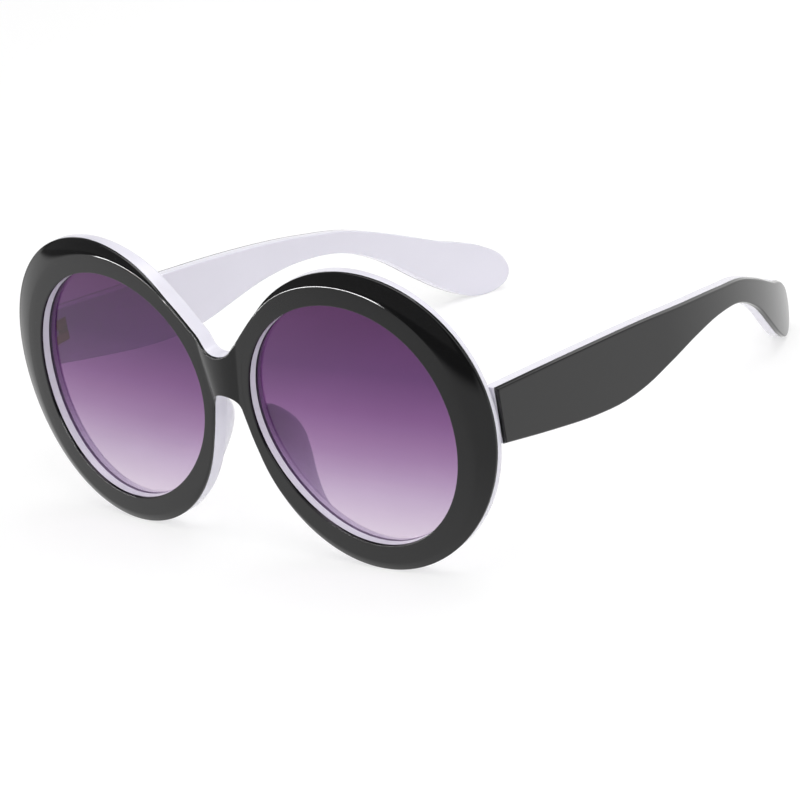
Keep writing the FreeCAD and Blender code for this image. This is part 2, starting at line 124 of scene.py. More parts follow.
def add_node(tree: Tree, kind: str, settings: Optional[dict] = None,
             inputs: Optional[dict] = None) -> bpy.types.Node:
    """Adds one node, sets its properties and fills or links its sockets.

    Args:
        tree: node tree that gets the node.
        kind: Blender's name of the node type.
        settings: properties of the node by name.
        inputs: socket name or index to a value, or to an output socket that is linked to it.

    Returns:
        The new node.
    """
    node = tree.nodes.new(kind)
    for name, value in (settings or {}).items():
        setattr(node, name, value)
    for name, value in (inputs or {}).items():
        if isinstance(value, Socket):
            tree.links.new(value, node.inputs[name])
        else:
            node.inputs[name].default_value = value
    return node


def new_material(name: str) -> tuple[Material, Tree, bpy.types.Node]:
    """Starts a material with a bare principled shader.

    Args:
        name: plain name of the finish.

    Returns:
        The material, its node tree and its shader node.
    """
    material = bpy.data.materials.new(name)
    material.use_nodes = True
    tree = material.node_tree
    return material, tree, tree.nodes["Principled BSDF"]


@dataclass(frozen=True)
class PolishedAcetate:
    """Cellulose acetate sheet, tumbled and buffed: deep gloss with a faint ripple and fine hairlines."""

    name: str
    colour: str
    shade: str
    roughness: float
    mottle_mm: float = 16.0
    ripple_mm: float = 9.0
    ripple_depth_mm: float = 0.2
    ripple_strength: float = 0.02
    # Real hairlines are finer; they are drawn as coarse as they need to show.
    hairline_mm: float = 0.5
    hairline_spread: float = 0.25
    ior: float = 1.48

    def material(self) -> Material:
        """Builds the finish.

        Returns:
            The material.
        """
        material, tree, shader = new_material(self.name)
        place = add_node(tree, "ShaderNodeTexCoord").outputs["Object"]
        mottle = add_node(tree, "ShaderNodeTexNoise", None,
                          {"Vector": place, "Scale": 1 / (self.mottle_mm * MM), "Detail": 3.0})
        colour = add_node(tree, "ShaderNodeMix", {"data_type": "RGBA"},
                          {"Factor": mottle.outputs["Fac"], "A": linear(self.colour),
                           "B": linear(self.shade)})
        fine = add_node(tree, "ShaderNodeTexNoise", None,
                        {"Vector": place, "Scale": 1 / (self.hairline_mm * MM), "Detail": 4.0})
        rough = add_node(tree, "ShaderNodeMapRange", None,
                         {"Value": fine.outputs["Fac"],
                          "To Min": self.roughness * (1 - self.hairline_spread),
                          "To Max": self.roughness * (1 + self.hairline_spread)})
        ripple = add_node(tree, "ShaderNodeTexNoise", None,
                          {"Vector": place, "Scale": 1 / (self.ripple_mm * MM), "Detail": 1.0})
        bump = add_node(tree, "ShaderNodeBump", None,
                        {"Height": ripple.outputs["Fac"], "Strength": self.ripple_strength,
                         "Distance": self.ripple_depth_mm * MM})
        tree.links.new(colour.outputs["Result"], shader.inputs["Base Color"])
        tree.links.new(rough.outputs["Result"], shader.inputs["Roughness"])
        tree.links.new(bump.outputs["Normal"], shader.inputs["Normal"])
        shader.inputs["IOR"].default_value = self.ior
        return material


@dataclass(frozen=True)
class TintedLens:
    """Dip-dyed lens sheet: clear purple from a dark top to a pale foot, under a glossy hard coat.

    The dye is a list of heights, as shares between the low and the high end in metres, with colours.
    """

    name: str
    dye: tuple[tuple[float, str], ...]
    low: float
    high: float
    cloud_mm: float = 12.0
    cloud_drift_mm: float = 0.4
    coat_roughness: float = 0.02
    coat_ior: float = 1.42

    def dye_colour(self, tree: Tree) -> Socket:
        """Adds the nodes that colour the lens by height, with a faint cloudiness of the dip.

        Args:
            tree: node tree of the lens.

        Returns:
            The socket that gives the colour.
        """
        place = add_node(tree, "ShaderNodeTexCoord").outputs["Object"]
        height = add_node(tree, "ShaderNodeSeparateXYZ", None, {"Vector": place}).outputs["Z"]
        cloud = add_node(tree, "ShaderNodeTexNoise", None,
                         {"Vector": place, "Scale": 1 / (self.cloud_mm * MM), "Detail": 1.0})
        drift = add_node(tree, "ShaderNodeMapRange", None,
                         {"Value": cloud.outputs["Fac"], "To Min": -self.cloud_drift_mm * MM,
                          "To Max": self.cloud_drift_mm * MM})
        level = add_node(tree, "ShaderNodeMath", {"operation": "ADD"},
                         {0: height, 1: drift.outputs["Result"]})
        share = add_node(tree, "ShaderNodeMapRange", None,
                         {"Value": level.outputs[0], "From Min": self.low, "From Max": self.high})
        ramp = add_node(tree, "ShaderNodeValToRGB", None, {"Fac": share.outputs["Result"]})
        stops = ramp.color_ramp.elements
        stops.remove(stops[1])
        for index, (place_up, code) in enumerate(self.dye):
            stop = stops[0] if index == 0 else stops.new(place_up)
            stop.color = linear(code)
        return ramp.outputs["Color"]

    def material(self) -> Material:
        """Builds the finish; light is tinted once at each of the two faces, and only outsides mirror.

        Returns:
            The material.
        """
        material, tree, shader = new_material(self.name)
        tree.nodes.remove(shader)
        clear = add_node(tree, "ShaderNodeBsdfTransparent", None, {"Color": self.dye_colour(tree)})
        gloss = add_node(tree, "ShaderNodeBsdfGlossy", None,
                         {"Color": linear("#ffffff"), "Roughness": self.coat_roughness})
        mirror = add_node(tree, "ShaderNodeFresnel", None, {"IOR": self.coat_ior})
        inside = add_node(tree, "ShaderNodeNewGeometry").outputs["Backfacing"]
        coat = add_node(tree, "ShaderNodeMix", {"data_type": "FLOAT"},
                        {"Factor": inside, 2: mirror.outputs[0], 3: 0.0})
        mix = add_node(tree, "ShaderNodeMixShader", None,
                       {0: coat.outputs[0], 1: clear.outputs[0], 2: gloss.outputs[0]})
        tree.links.new(mix.outputs[0], tree.nodes["Material Output"].inputs["Surface"])
        return material


@dataclass(frozen=True)
class WorkedMetal:
    """Small stamped, rolled or turned metal: satin, with fine tool marks."""

    name: str
    colour: str
    shade: str
    roughness: float
    # Real tool marks are finer; they are drawn as coarse as they need to show.
    mark_mm: float = 0.25
    mark_depth_mm: float = 0.02
    mark_strength: float = 0.1

    def material(self) -> Material:
        """Builds the finish.

        Returns:
            The material.
        """
        material, tree, shader = new_material(self.name)
        place = add_node(tree, "ShaderNodeTexCoord").outputs["Object"]
        marks = add_node(tree, "ShaderNodeTexNoise", None,
                         {"Vector": place, "Scale": 1 / (self.mark_mm * MM), "Detail": 5.0})
        colour = add_node(tree, "ShaderNodeMix", {"data_type": "RGBA"},
                          {"Factor": marks.outputs["Fac"], "A": linear(self.colour),
                           "B": linear(self.shade)})
        bump = add_node(tree, "ShaderNodeBump", None,
                        {"Height": marks.outputs["Fac"], "Strength": self.mark_strength,
                         "Distance": self.mark_depth_mm * MM})
        tree.links.new(colour.outputs["Result"], shader.inputs["Base Color"])
        tree.links.new(bump.outputs["Normal"], shader.inputs["Normal"])
        shader.inputs["Metallic"].default_value = 1.0
        shader.inputs["Roughness"].default_value = self.roughness
        return material


@dataclass(frozen=True)
class Finishes:
    """All materials of the part."""

    black: Material
    white: Material
    tint: Material
    lens_edge: Material
    brass: Material
    steel: Material
    core: Material

    @classmethod
    def make(cls) -> "Finishes":
        """Builds every finish once.

        Returns:
            The finishes of the part.
        """
        low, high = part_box("lens_left")
        dye = ((0.0, "#efe8f0"), (0.2, "#dbcedf"), (0.37, "#c5adca"), (0.54, "#b08fb6"),
               (0.71, "#9b77a3"), (1.0, "#906494"))
        return cls(
            # Near-black sheet that shows little but the mirror images in its gloss
            black=PolishedAcetate("buffed black acetate", "#080809", "#0a0a0b", 0.07).material(),
            # Cool white sheet with a softer sheen
            white=PolishedAcetate("buffed white acetate", "#e6e4ee", "#e2e0ea", 0.16).material(),
            # Clear sheet that darkens what lies behind it towards the top
            tint=TintedLens("dip-dyed purple lens", dye, low.z, high.z).material(),
            # Painted shade: a matt dark line on the lens's outer ring, where the groove shades the lens
            lens_edge=PolishedAcetate("lens ring with painted groove shade", "#2a1c30", "#241828", 0.4).material(),
            # Dull yellow metal with blurred mirror images
            brass=WorkedMetal("stamped brass", "#a89c74", "#948a66", 0.3).material(),
            # Bright grey metal of the screws
            steel=WorkedMetal("turned steel", "#c0c0c0", "#a8a8a8", 0.3).material(),
            # Slightly warm grey strip with a soft sheen
            core=WorkedMetal("rolled nickel silver", "#b8b8b0", "#a0a098", 0.35).material(),
        )


@dataclass(frozen=True)
class RimLaw:
    """Outline of the left rim and wrap of the front, in millimetres; angles run up from the outside."""

    radius: float = 29.0
    centre_x: float = 37.0
    centre_z: float = 36.038
    oval: float = -0.29
    slant: float = -0.81
    egg: float = -0.44
    lean: float = 0.26
    width_outer: float = 9.8
    width_top: float = 7.8
    width_bottom: float = 6.4
    width_nose: float = 2.1
    width_slant: float = 1.05
    width_taper: float = 0.5
    flat_band: float = 4.7
    bevel_blend: float = 0.5
    bevel_slope: float = 0.30
    # Degrees between which the bevel fades out towards the bridge and in again
    bevel_fade_out: Span = (112.0, 140.0)
    bevel_fade_in: Span = (198.0, 224.0)
    wrap: float = 550.0

    def opening(self, angle: float) -> float:
        """Radius of the lens opening."""
        oval = self.oval * math.cos(2 * angle) + self.slant * math.sin(2 * angle)
        return self.radius + oval + self.egg * math.cos(3 * angle) + self.lean * math.sin(3 * angle)

    def width(self, angle: float) -> float:
        """Width of the rim around the opening, from its four named widths.

        Args:
            angle: angle around the opening.

        Returns:
            The width.
        """
        mean = (self.width_outer + self.width_top + self.width_bottom + self.width_nose) / 4
        across = (self.width_outer - self.width_nose) / 2 - self.width_taper
        upright = (self.width_top - self.width_bottom) / 2
        oval = (self.width_outer + self.width_nose - self.width_top - self.width_bottom) / 4
        corners = self.width_slant * math.sin(2 * angle) + self.width_taper * math.cos(3 * angle)
        sides = across * math.cos(angle) + upright * math.sin(angle)
        return mean + sides + oval * math.cos(2 * angle) + corners

    def bevel(self, angle: float) -> float:
        """Width of the sloping band outside the flat band."""
        spare = self.width(angle) - self.flat_band
        return (spare + math.sqrt(spare ** 2 + 4 * self.bevel_blend ** 2)) / 2

    def drop(self, angle: float) -> float:
        """Depth that the bevel falls; it fades out where the bridge joins.

        Args:
            angle: angle around the opening.

        Returns:
            The depth.
        """
        degrees = math.degrees(angle) % 360
        joined = smooth_step(degrees, *self.bevel_fade_out)
        joined *= 1 - smooth_step(degrees, *self.bevel_fade_in)
        return self.bevel_slope * self.bevel(angle) * (1 - joined)

    def flat_place(self, angle: float, offset: float) -> Vector:
        """Distance along the front and height of a point at an offset outside the opening."""
        reach = self.opening(angle) + offset
        return Vector((self.centre_x + reach * math.cos(angle), self.centre_z + reach * math.sin(angle)))

    def wrapped(self, place: Vector, depth: float) -> Vector:
        """Point in metres for a place of the flat front, bent around the wrap at a depth."""
        turn, far = place.x / self.wrap, self.wrap - depth
        return Vector((far * math.sin(turn), FRONT_Y + self.wrap - far * math.cos(turn), place.y)) * MM

    def point(self, angle: float, offset: float, depth: float) -> Vector:
        """Point of the left rim in metres."""
        return self.wrapped(self.flat_place(angle, offset), depth)


RIM = RimLaw()


def rim_angle(step: int) -> float:
    """Angle around a rim at one of its steps."""
    return 2 * math.pi * step / AROUND


def curve_through(points: Sequence[Vector], share: float) -> Vector:
    """Point of a smooth curve through points, with slopes weighed by how far apart they lie.

    Args:
        points: places that the curve passes.
        share: parameter from nought to one, even from point to point.

    Returns:
        The place on the curve.
    """
    last = len(points) - 1
    index = max(0, min(int(share * last), last - 1))
    t = share * last - index
    here, there = points[index], points[index + 1]
    before = points[index - 1] if index else here * 2 - there
    after = points[index + 2] if index + 2 <= last else there * 2 - here
    behind, ahead, beyond = ((q - p).length for p, q in ((before, here), (here, there), (there, after)))
    slope = (there - here) / ahead
    leave = ((here - before) * (ahead / behind) + slope * behind) * (ahead / (behind + ahead))
    arrive = (slope * beyond + (after - there) * (ahead / beyond)) * (ahead / (ahead + beyond))
    bend = here * (2 * t ** 3 - 3 * t ** 2 + 1) + there * (3 * t ** 2 - 2 * t ** 3)
    return bend + leave * (t ** 3 - 2 * t ** 2 + t) + arrive * (t ** 3 - t ** 2)


@dataclass(frozen=True)
class BridgeLaw:
    """Bridge between the rims: its two edges from the left rim to the mid plane, and its raised front.

    The edges leave the rim at a step around it. Shoulder and haunch are degrees around the opening with
    distances outside the rim, and top and bottom are heights above the middle of the openings.
    """

    top_step: int = 87
    bottom_step: int = 133
    top: float = 12.95
    bottom: float = 3.4
    shoulder: Pairs = ((138, 0.55), (145, 1.4), (152, 2.7), (158, 4.35))
    haunch: Pairs = ((193, 0.25), (187, 0.55), (180, 1.2), (176, 2.7))
    lead_degrees: float = 6.0
    slope_step: float = 0.002
    raise_height: float = 1.25
    raise_half: float = 5.0
    raise_spread: float = 0.14
    raise_z: float = 43.7

    def edge(self, upper: bool, share: float, inset: float) -> Vector:
        """Place on an edge, which is laid from the outline of one rim to that of the other.

        Args:
            upper: whether it is the upper edge.
            share: nought at the rim and one at the mid plane.
            inset: distance that the place is moved into the bridge.

        Returns:
            Distance along the front and height.
        """
        start = rim_angle(self.top_step if upper else self.bottom_step)
        ahead = start + math.radians(-self.lead_degrees if upper else self.lead_degrees)
        spots = [(ahead, 0.0), (start, 0.0)]
        spots += [(math.radians(turn), off) for turn, off in (self.shoulder if upper else self.haunch)]
        points = [RIM.flat_place(angle, RIM.width(angle) + off) for angle, off in spots]
        points.append(Vector((0.0, RIM.centre_z + (self.top if upper else self.bottom))))
        line = points + [Vector((-p.x, p.y)) for p in reversed(points[:-1])]
        along = (1 + share * (len(points) - 2)) / (len(line) - 1)
        run = curve_through(line, along + self.slope_step) - curve_through(line, along - self.slope_step)
        run.normalize()
        inward = Vector((-run.y, run.x)) if upper else Vector((run.y, -run.x))
        return curve_through(line, along) + inward * inset

    def place(self, angle: float, share: float, inset: float) -> Vector:
        """Place in the bridge on the row that starts at an angle of the rim.

        Args:
            angle: where the row leaves the rim.
            share: nought at the rim and one at the mid plane.
            inset: distance inside the outline at the rim.

        Returns:
            Distance along the front and height.
        """
        first, last = rim_angle(self.top_step), rim_angle(self.bottom_step)
        low = (angle - first) / (last - first)
        upper = self.edge(True, share, inset)
        lower = self.edge(False, share, inset)
        rim = RIM.flat_place(angle, RIM.width(angle) - inset)
        start = self.edge(True, 0.0, inset) * (1 - low) + self.edge(False, 0.0, inset) * low
        return upper * (1 - low) + lower * low + (rim - start) * (1 - share)

    def raised(self, place: Vector) -> float:
        """Height of the front above the rims, which it leaves in a crease that spreads upwards."""
        half = self.raise_half + self.raise_spread * (place.y - self.raise_z)
        return self.raise_height * max(0.0, 1 - (place.x / half) ** 2)


BRIDGE = BridgeLaw()


def only(piece: Piece) -> None:
    """Selects one object and makes it active.

    Args:
        piece: the object.
    """
    bpy.ops.object.select_all(action="DESELECT")
    piece.select_set(True)
    bpy.context.view_layer.objects.active = piece


def settle(piece: Piece, name: str, node: str, slot: str, *materials: Material) -> None:
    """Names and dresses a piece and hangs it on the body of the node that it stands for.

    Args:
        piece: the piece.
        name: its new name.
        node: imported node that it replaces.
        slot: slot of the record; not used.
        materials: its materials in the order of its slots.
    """
    piece.name = name
    piece.data.materials.clear()
    for material in materials:
        piece.data.materials.append(material)
    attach(piece, frame["nodes"][node]["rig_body"])
    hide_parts(node)
    LOG.info("%s stands for %s", name, node)


def smooth_by(piece: Piece, degrees: float) -> None:
    """Shades a piece smooth except across edges sharper than an angle."""
    only(piece)
    bpy.ops.object.shade_smooth_by_angle(angle=math.radians(degrees))


@contextmanager
def editing(piece: Piece) -> Iterator[None]:
    """Opens a piece in edit mode with all of it selected, and closes it afterwards.

    Args:
        piece: the piece.
    """
    only(piece)
    bpy.ops.object.mode_set(mode="EDIT")
    bpy.ops.mesh.select_all(action="SELECT")
    yield
    bpy.ops.object.mode_set(mode="OBJECT")


def face_outwards(piece: Piece) -> None:
    """Turns all faces of a closed piece outwards."""
    with editing(piece):
        bpy.ops.mesh.normals_make_consistent(inside=False)


def smooth_copy(node: str, degrees: float) -> Piece:
    """Copies a node's mesh, joins its loose triangles and smooths it up to an angle.

    Args:
        node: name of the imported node.
        degrees: largest angle between faces that still shades smooth.

    Returns:
        The new piece.
    """
    piece = bpy.data.objects.new(node, frame["nodes"][node].data.copy())
    bpy.context.scene.collection.objects.link(piece)
    with editing(piece):
        bpy.ops.mesh.remove_doubles(threshold=JOIN_DISTANCE * MM)
    smooth_by(piece, degrees)
    bpy.ops.object.modifier_add(type="WEIGHTED_NORMAL")
    piece.modifiers[-1].weight = 100
    piece.modifiers[-1].keep_sharp = True
    bpy.ops.object.modifier_apply(modifier=piece.modifiers[-1].name)
    return piece


def mirror_copy(piece: Piece) -> Piece:
    """Copies a piece of the left side to the right side.

    Args:
        piece: the piece on the left.

    Returns:
        The new piece on the right.
    """
    only(piece)
    bpy.ops.object.duplicate()
    twin = bpy.context.object
    with editing(twin):
        bpy.ops.transform.resize(value=(-1.0, 1.0, 1.0), center_override=(0.0, 0.0, 0.0))
        bpy.ops.mesh.flip_normals()
    return twin


def add_ball(segments: int, rings: int) -> Piece:
    """Adds a ball of one metre that is shaped afterwards.

    Args:
        segments: corners around it.
        rings: bands from pole to pole.

    Returns:
        The ball.
    """
    bpy.ops.object.select_all(action="DESELECT")
    bpy.ops.mesh.primitive_uv_sphere_add(segments=segments, ring_count=rings, radius=1.0)
    return bpy.context.object


def share_down(spot: Vector) -> float:
    """Share of the way down a ball from its upper pole to its lower one."""
    return math.acos(max(-1.0, min(1.0, spot.z))) / math.pi


def shape_ball(ball: Piece, side: Side, place: Callable[[float, float], Vector]) -> Piece:
    """Shapes a ball into a piece on the left, and mirrors it where it belongs on the right.

    Args:
        ball: the ball.
        side: the side where the piece belongs.
        place: gives the point for a share of the way down the ball and a turn around it in radians.

    Returns:
        The piece on its side.
    """
    for vertex in ball.data.vertices:
        vertex.co = place(share_down(vertex.co), math.atan2(vertex.co.y, vertex.co.x))
    face_outwards(ball)
    if side is Side.LEFT:
        return ball
    twin = mirror_copy(ball)
    bpy.data.objects.remove(ball)
    return twin


def arc(centre: Span, radius: float, start: float, end: float, steps: int) -> Profile:
    """Points on an arc of a profile, with angles in degrees from the first axis towards the second."""
    turns = [math.radians(start + (end - start) * i / steps) for i in range(steps + 1)]
    return [(centre[0] + radius * math.cos(t), centre[1] + radius * math.sin(t)) for t in turns]


@dataclass
class FrontLayer(ABC):
    """One layer of the front: two rims and the bridge between them, in a single skin.

    The wall is the stretch of the profile that is opened where the bridge joins. The marks give the angle,
    inset and depth of the hole's rim by its places in depth and height.
    """

    name: str
    node: str
    slot: str
    wall: range
    columns: int = 39
    smooth_degrees: float = 50.0
    marks: dict[Span, Spot] = field(default_factory=dict)

    @abstractmethod
    def profile(self, angle: float) -> Profile:
        """Section of the rim at an angle, as offsets outside the opening with depths behind the face."""

    def ring(self) -> Piece:
        """Shapes the left rim from a torus whose tube follows the profile.

        Returns:
            The closed ring.
        """
        count = len(self.profile(0.0))
        bpy.ops.object.select_all(action="DESELECT")
        bpy.ops.mesh.primitive_torus_add(major_segments=AROUND, minor_segments=count,
                                         major_radius=1.0, minor_radius=0.25)
        ring = bpy.context.object
        for step in range(AROUND):
            angle = rim_angle(step)
            for index, (offset, depth) in enumerate(self.profile(angle)):
                ring.data.vertices[step * count + index].co = RIM.point(angle, offset, depth)
        face_outwards(ring)
        return ring

    def open_side(self, ring: Piece) -> None:
        """Takes the outer wall away where the bridge joins and notes the rim of the hole.

        Args:
            ring: the left rim.
        """
        count = len(self.profile(0.0))
        rows = range(BRIDGE.top_step, BRIDGE.bottom_step + 1)
        for step in rows:
            angle = rim_angle(step)
            for index in self.wall:
                if step in (rows[0], rows[-1]) or index in (self.wall[0], self.wall[-1]):
                    place = ring.data.vertices[step * count + index].co
                    offset, depth = self.profile(angle)[index]
                    inset = RIM.width(angle) - offset
                    self.marks[(round(place.y, 6), round(place.z, 6))] = (angle, inset, depth)
        with editing(ring):
            bpy.ops.mesh.select_mode(type="FACE")
            bpy.ops.mesh.select_all(action="DESELECT")
        for face in ring.data.polygons:
            spots = [divmod(corner, count) for corner in face.vertices]
            face.select = all(step in rows and index in self.wall for step, index in spots)
        bpy.ops.object.mode_set(mode="EDIT")
        bpy.ops.mesh.delete(type="FACE")
        bpy.ops.object.mode_set(mode="OBJECT")

    def bridge_point(self, spot: Vector) -> Vector:
        """Point of the shaped bridge for a spot of the straight one.

        Args:
            spot: point of the straight bridge in metres.

        Returns:
            The shaped point in metres.
        """
        near = min(self.marks, key=lambda mark: (mark[0] - spot.y) ** 2 + (mark[1] - spot.z) ** 2)
        angle, inset, depth = self.marks[near]
        rim_x = RIM.point(angle, RIM.width(angle) - inset, depth).x
        share = 1 - abs(spot.x) / rim_x
        place = BRIDGE.place(angle, share, inset)
        sunk = depth - RIM.drop(angle) * share - BRIDGE.raised(place)
        shaped = RIM.wrapped(place, sunk)
        shaped.x = math.copysign(shaped.x, spot.x)
        return shaped

    def span(self, ring: Piece) -> None:
        """Adds the right rim, joins both by a straight bridge and shapes it.

        Args:
            ring: the opened left rim, which becomes the whole layer.
        """
        twin = mirror_copy(ring)
        only(ring)
        twin.select_set(True)
        bpy.ops.object.join()
        with editing(ring):
            bpy.ops.mesh.select_mode(type="EDGE")
            bpy.ops.mesh.select_all(action="DESELECT")
            bpy.ops.mesh.select_non_manifold()
            old = len(ring.data.vertices)
            bpy.ops.mesh.bridge_edge_loops(number_cuts=self.columns, interpolation="LINEAR")
        for vertex in ring.data.vertices[old:]:
            vertex.co = self.bridge_point(vertex.co)
        face_outwards(ring)

    def build(self, material: Material) -> None:
        """Makes the layer and dresses it.

        Args:
            material: its finish.
        """
        layer = self.ring()
        self.open_side(layer)
        self.span(layer)
        smooth_by(layer, self.smooth_degrees)
        settle(layer, self.name, self.node, self.slot, material)


@dataclass
class BlackFace(FrontLayer):
    """Black face layer: a flat band around each opening, a crease and a rounded bevel outside it.

    The bevel falls by a straight and a curved share. The edge curve gives shares of the edge's rounding,
    inwards and backwards.
    """

    name: str = "black_face"
    node: str = "front_face"
    slot: str = "black_plastic"
    wall: range = range(15, 20)
    thickness: float = 0.7
    lip: float = 0.22
    lip_steps: int = 4
    lip_support: float = 0.1
    crease_support: float = 0.12
    crease_share: float = 0.2
    crease_drop: float = 0.01
    bevel_steps: tuple[float, ...] = (0.12, 0.3, 0.5, 0.7, 0.86, 1.0)
    bevel_straight: float = 0.55
    bevel_curved: float = 0.37
    edge_most: float = 0.3
    edge_share: float = 0.4
    edge_least: float = 0.1
    edge_curve: Pairs = ((0.45, 0.1), (0.12, 0.4), (0.0, 1.0))

    def profile(self, angle: float) -> Profile:
        """Section from the inner back corner over the front to the outer back corner.

        Args:
            angle: angle around the opening.

        Returns:
            Points of the section.
        """
        width = RIM.width(angle)
        bevel = RIM.bevel(angle)
        drop = RIM.drop(angle)
        flat = width - bevel
        lip = self.lip
        support = min(self.crease_support, self.crease_share * bevel)
        edge = min(self.edge_most, self.edge_share * bevel + self.edge_least)
        points = [(0.0, self.thickness)] + arc((lip, lip), lip, 180, 270, self.lip_steps)
        points += [(lip + self.lip_support, 0.0), (flat / 2, 0.0)]
        points += [(flat - support, 0.0), (flat, self.crease_drop * drop)]
        for across in self.bevel_steps:
            fall = self.bevel_straight * across + self.bevel_curved * across ** 2
            points.append((flat + across * (bevel - edge), drop * fall))
        start = points[-1][1]
        points += [(width - edge * inwards, start + edge * back) for inwards, back in self.edge_curve]
        return points + [(width, drop + self.thickness), (flat, self.thickness)]


@dataclass
class WhiteBacking(FrontLayer):
    """White backing layer: the outer wall, the sloping back and the groove that holds the lens.

    The inner curve gives shares of the inner slope with depths before the back.
    """

    name: str = "white_backing"
    node: str = "front_backing"
    slot: str = "white_plastic"
    wall: range = range(2, 11)
    front: float = 0.75
    front_break: float = 0.12
    wall_lead: float = 0.5
    wall_support: float = 0.3
    back_round: float = 0.5
    back_steps: int = 4
    inner_slope: float = 0.75
    inner_support: float = 0.2
    inner_curve: Pairs = ((1.0, 0.0), (0.8, 0.12), (0.55, 0.5))
    groove_depth: float = 1.0

    def profile(self, angle: float) -> Profile:
        """Section from the front inner corner over the outer wall, the back and the groove.

        Args:
            angle: angle around the opening.

        Returns:
            Points of the section.
        """
        width = RIM.width(angle)
        flat = width - RIM.bevel(angle)
        edge = RIM.drop(angle) + self.front
        lip = self.back_round
        slope = self.inner_slope
        back = FRONT_THICKNESS - BACK_SLOPE * (width - lip)
        groove_back = GROOVE_FRONT + LENS_THICKNESS + 2 * LENS_PLAY
        front = [(0.0, self.front), (flat, self.front), (width - self.front_break, edge)]
        outer = [(width, edge + self.front_break), (width, edge + self.wall_lead)]
        outer += [(width, back - lip - self.wall_support)]
        outer += arc((width - lip, back - lip), lip, 0, 90, self.back_steps)
        rear = [(width / 2, FRONT_THICKNESS - BACK_SLOPE * width / 2)]
        rear += [(slope + self.inner_support, FRONT_THICKNESS - BACK_SLOPE * slope)]
        rear += [(slope * share, FRONT_THICKNESS - depth) for share, depth in self.inner_curve]
        groove = [(0.0, groove_back), (self.groove_depth, groove_back)]
        groove += [(self.groove_depth, GROOVE_FRONT), (0.0, GROOVE_FRONT)]
        return front + outer + rear + groove


@dataclass
class Lens:
    """One lens: a thin wrapped disc in the groove of the backing, with painted shade on the outer ring of
    its front where the groove shades it.
    """

    side: Side
    rings: int = 12
    overlap: float = 0.85
    # Width in millimetres of the ring of painted groove shade at the lens's edge
    painted_shade_band: float = 0.12
    smooth_degrees: float = 40.0

    @property
    def bands(self) -> int:
        """Bands of the ball that becomes the lens, with one for its rim."""
        return 2 * self.rings + 1

    def place(self, share: float, turn: float) -> Vector:
        """Point of the left lens, whose front is the upper half of the ball.

        Args:
            share: share of the way down the ball.
            turn: turn around it in radians.

        Returns:
            The point in metres.
        """
        band = round(share * self.bands)
        front = band <= self.rings
        ring = band if front else self.bands - band
        depth = GROOVE_FRONT + LENS_PLAY + (0.0 if front else LENS_THICKNESS)
        opening = RIM.opening(turn)
        inner = opening - self.painted_shade_band
        reach = opening + self.overlap if ring == self.rings else inner * ring / (self.rings - 1)
        return RIM.point(turn, reach - opening, depth)

    def build(self, tint: Material, edge: Material) -> None:
        """Shapes the lens and dresses it.

        Args:
            tint: finish of the sheet.
            edge: painted shade for the outermost ring of its front, where the groove shades the lens.
        """
        ball = add_ball(AROUND // 2, self.bands)
        for face in ball.data.polygons:
            band = int(share_down(face.center) * self.bands)
            # The outermost ring of the front gets the second material: painted shade where the groove
            # shades the lens
            face.material_index = int(band == self.rings - 1)
        lens = shape_ball(ball, self.side, self.place)
        smooth_by(lens, self.smooth_degrees)
        word = self.side.value
        settle(lens, "gradient_lens_" + word, "lens_" + word, "lens_tint", tint, edge)


@dataclass
class NosePad:
    """One nose pad: a soft-edged wing on the back of the rim, along a stretch of it in degrees."""

    side: Side
    start: float = 180.0
    end: float = 252.0
    rise: float = 6.1
    root: float = 1.2
    splay: float = 0.36
    thickness: float = 2.2
    peak: float = 0.29
    squareness: float = 0.6
    end_steepness: float = 8.0
    stations: int = 40
    around: int = 32
    smooth_degrees: float = 60.0

    def crest(self, share: float) -> float:
        """Height of the wing along its stretch."""
        falling = 1 / self.peak - 1
        return self.rise * (share / self.peak) * ((1 - share) / (1 - self.peak)) ** falling

    def place(self, share: float, turn: float) -> Vector:
        """Point of the left wing.

        Args:
            share: share of its stretch.
            turn: turn around its section in radians.

        Returns:
            The point in metres.
        """
        angle = math.radians(self.start + share * (self.end - self.start))
        width = RIM.width(angle)
        depth = FRONT_THICKNESS - BACK_SLOPE * width / 2 - self.root / 2
        inward = Vector((-math.cos(angle), 0.0, -math.sin(angle)))
        stem = Vector((0.0, 1.0, 0.0)) + inward * self.splay
        height = (self.crest(share) + self.root) * (1 - math.cos(turn)) / 2
        flank = math.copysign(abs(math.sin(turn)) ** self.squareness, math.sin(turn))
        ends = math.sqrt(min(1.0, self.end_steepness * share, self.end_steepness * (1 - share)))
        aside = inward * (self.thickness / 2 * flank * ends)
        return RIM.point(angle, width / 2, depth) + (stem * height + aside) * MM

    def build(self, material: Material) -> None:
        """Shapes the wing from a ball whose poles become its ends.

        Args:
            material: its finish.
        """
        pad = shape_ball(add_ball(self.around, self.stations), self.side, self.place)
        smooth_by(pad, self.smooth_degrees)
        word = self.side.value
        settle(pad, "nose_wing_" + word, "nose_pad_" + word, "white_plastic", material)


